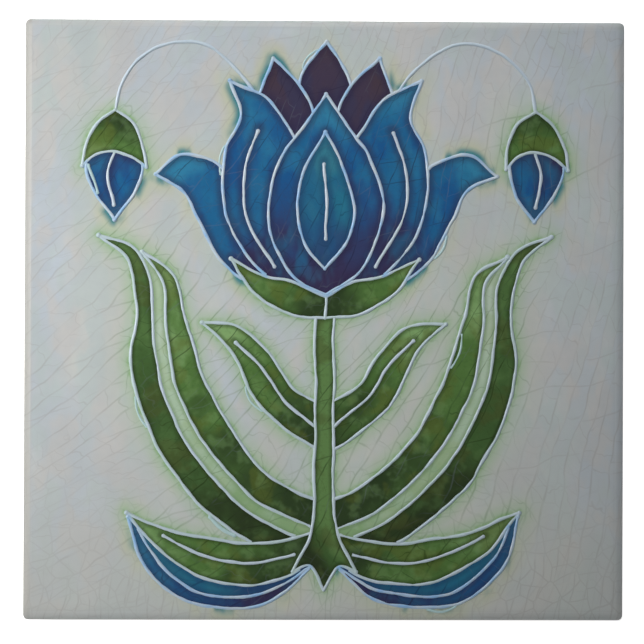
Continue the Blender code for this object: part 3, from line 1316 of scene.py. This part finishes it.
def build_floor(glow):
    """A wide pale floor just under the tile."""
    bm = bmesh.new()
    bmesh.ops.create_grid(bm, x_segments=1, y_segments=1, size=FLOOR_REACH)
    mesh = bpy.data.meshes.new("floor")
    bm.to_mesh(mesh)
    bm.free()
    material = bpy.data.materials.new("pale_floor")
    material.use_nodes = True
    tree = material.node_tree
    shader = tree.nodes["Principled BSDF"]
    shader.inputs["Base Color"].default_value = (0.92, 0.92, 0.92, 1.0)
    shader.inputs["Roughness"].default_value = 0.9
    shader.inputs["Emission Color"].default_value = (1.0, 1.0, 1.0, 1.0)
    strength = seen_or_shed(tree, glow, glow * FLOOR_SPILL)
    tree.links.new(strength, shader.inputs["Emission Strength"])
    mesh.materials.append(material)
    floor = bpy.data.objects.new("floor", mesh)
    floor.location.z = CAD_BOX[0].z - FLOOR_DROP
    bpy.context.scene.collection.objects.link(floor)


def hang_lamp(name, power, lamp):
    """Hang a soft spot lamp that points at a place on the floor and fades out evenly."""
    light = bpy.data.lights.new(name, "SPOT")
    light.energy = power
    light.shadow_soft_size = lamp.size
    light.spot_size = math.radians(lamp.cone)
    light.spot_blend = 1.0
    light.color = (1.0, 0.995, 0.99)
    spot = bpy.data.objects.new(name, light)
    spot.location = lamp.place
    aim = Vector((*lamp.target, 0.0)) - spot.location
    spot.rotation_euler = aim.to_track_quat("-Z", "Y").to_euler()
    bpy.context.scene.collection.objects.link(spot)


def build_light(settings):
    """A soft key light at the left, a weaker one at the top, and a pale room that is brightest at the
    horizon. The camera sees the room as plain white."""
    hang_lamp("key_light", settings.key_power, KEY_LAMP)
    hang_lamp("fill_light", settings.fill_power, FILL_LAMP)

    world = bpy.data.worlds.new("pale_room")
    world.use_nodes = True
    tree = world.node_tree
    background = tree.nodes["Background"]
    heading = put(tree, "ShaderNodeTexCoord").outputs["Generated"]
    horizon = fade(tree, axes_of(tree, heading)["Z"], 0.75, 0.0, 0.0, 0.46)
    strength = seen_or_shed(tree, 1.0, calc(tree, "ADD", horizon, settings.room_light))
    tree.links.new(strength, background.inputs["Strength"])
    is_seen = put(tree, "ShaderNodeLightPath").outputs["Is Camera Ray"]
    colour = mix(tree, is_seen, (0.90, 0.96, 1.0, 1.0), (1.0, 1.0, 1.0, 1.0))
    tree.links.new(colour, background.inputs["Color"])
    bpy.context.scene.world = world
    bpy.context.scene.view_settings.view_transform = "Standard"


def build_camera():
    """A long lens above the face, with the slight tilt of the photograph."""
    data = bpy.data.cameras.new("camera")
    data.lens = LENS
    data.sensor_width = SENSOR
    camera = bpy.data.objects.new("camera", data)
    camera.location = Vector(CAMERA_PLACE) * MM
    camera.rotation_euler = [math.radians(angle) for angle in CAMERA_TILT]
    bpy.context.scene.collection.objects.link(camera)
    bpy.context.scene.camera = camera


class WALLTILE_OT_clay(bpy.types.Operator):
    """Give the fired slab its unglazed clay finish"""

    bl_idname = "walltile.clay"
    bl_label = "Fired Clay"

    def execute(self, context):
        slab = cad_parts["tile"]
        material = clay_material(context.scene)
        for slot in slab.material_slots:
            slot.material = material
        return {"FINISHED"}


class WALLTILE_OT_ground(bpy.types.Operator):
    """Pour the pale ground glaze over the face and its edges"""

    bl_idname = "walltile.ground"
    bl_label = "Ground Glaze"

    def execute(self, context):
        bm = build_ground(context.scene.wall_tile_sizes.skirt_depth / MM)
        piece = piece_from(bm, "ground_glaze", ground_material(context.scene))
        keep_line_gaps(piece.data)
        return {"FINISHED"}


class WALLTILE_OT_pools(bpy.types.Operator):
    """Fill the fields of the ornament with coloured glazes"""

    bl_idname = "walltile.pools"
    bl_label = "Coloured Glazes"

    def execute(self, context):
        families = ((GREEN_GLAZES, "green_glaze", GREEN_FLOW), (BLUE_GLAZES, "blue_glaze", BLUE_FLOW))
        for glazes, slot, flow in families:
            for glaze in glazes:
                material = pooled_material(glaze, context.scene, flow)
                piece_from(build_pools(glaze), glaze + "_glaze", material)
        return {"FINISHED"}


class WALLTILE_OT_lines(bpy.types.Operator):
    """Pipe the raised slip lines round the fields"""

    bl_idname = "walltile.lines"
    bl_label = "Slip Lines"

    def execute(self, context):
        gain = context.scene.wall_tile_sizes.line_width / MM / (2 * LINE_RADIUS)
        material = slip_material("slip_line", context.scene, stain=0.0)
        bm = piped("slip_lines", shown_runs(), gain)
        bm.from_mesh(blobs(gain))
        piece = piece_from(settle(bm), "slip_lines", material)
        keep_line_gaps(piece.data)
        return {"FINISHED"}


class WALLTILE_OT_strays(bpy.types.Operator):
    """Add the thin stained runs of slip that strayed beside the lines"""

    bl_idname = "walltile.strays"
    bl_label = "Stray Slip"

    def execute(self, context):
        material = slip_material("stray_slip", context.scene, stain=0.75)
        bm = piped("stray_slip", stray_runs(), 1.0)
        piece = piece_from(settle(bm), "stray_slip", material)
        keep_line_gaps(piece.data)
        return {"FINISHED"}


class WALLTILE_OT_stage(bpy.types.Operator):
    """Set up the pale floor, the soft light and the camera"""

    bl_idname = "walltile.stage"
    bl_label = "Stage"

    def execute(self, context):
        settings = context.scene.wall_tile_stage
        build_floor(settings.floor_glow)
        build_light(settings)
        build_camera()
        return {"FINISHED"}


SETTINGS = {
    "wall_tile_sizes": WallTileSizes,
    "wall_tile_colours": WallTileColours,
    "wall_tile_stains": WallTileStains,
    "wall_tile_stage": WallTileStage,
}

OPERATORS = (
    WALLTILE_OT_clay,
    WALLTILE_OT_ground,
    WALLTILE_OT_pools,
    WALLTILE_OT_lines,
    WALLTILE_OT_strays,
    WALLTILE_OT_stage,
)


class WALLTILE_PT_panel(bpy.types.Panel):
    """The steps that finish the tile, in order"""

    bl_idname = "WALLTILE_PT_panel"
    bl_label = "Wall Tile"
    bl_space_type = "VIEW_3D"
    bl_region_type = "UI"
    bl_category = "Wall Tile"

    def draw(self, context):
        for name in SETTINGS:
            group = getattr(context.scene, name)
            box = self.layout.box()
            for setting in group.__annotations__:
                box.prop(group, setting)
        for operator in OPERATORS:
            self.layout.operator(operator.bl_idname)


CLASSES = (*SETTINGS.values(), *OPERATORS, WALLTILE_PT_panel)


def register():
    for cls in CLASSES:
        bpy.utils.register_class(cls)
    for name, group in SETTINGS.items():
        setattr(bpy.types.Scene, name, PointerProperty(type=group))


def unregister():
    for name in SETTINGS:
        delattr(bpy.types.Scene, name)
    for cls in reversed(CLASSES):
        bpy.utils.unregister_class(cls)


def main():
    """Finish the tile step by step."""
    register()
    bpy.ops.walltile.clay()
    bpy.ops.walltile.ground()
    bpy.ops.walltile.pools()
    bpy.ops.walltile.lines()
    bpy.ops.walltile.strays()
    bpy.ops.walltile.stage()


if __name__ == "__main__":
    main()
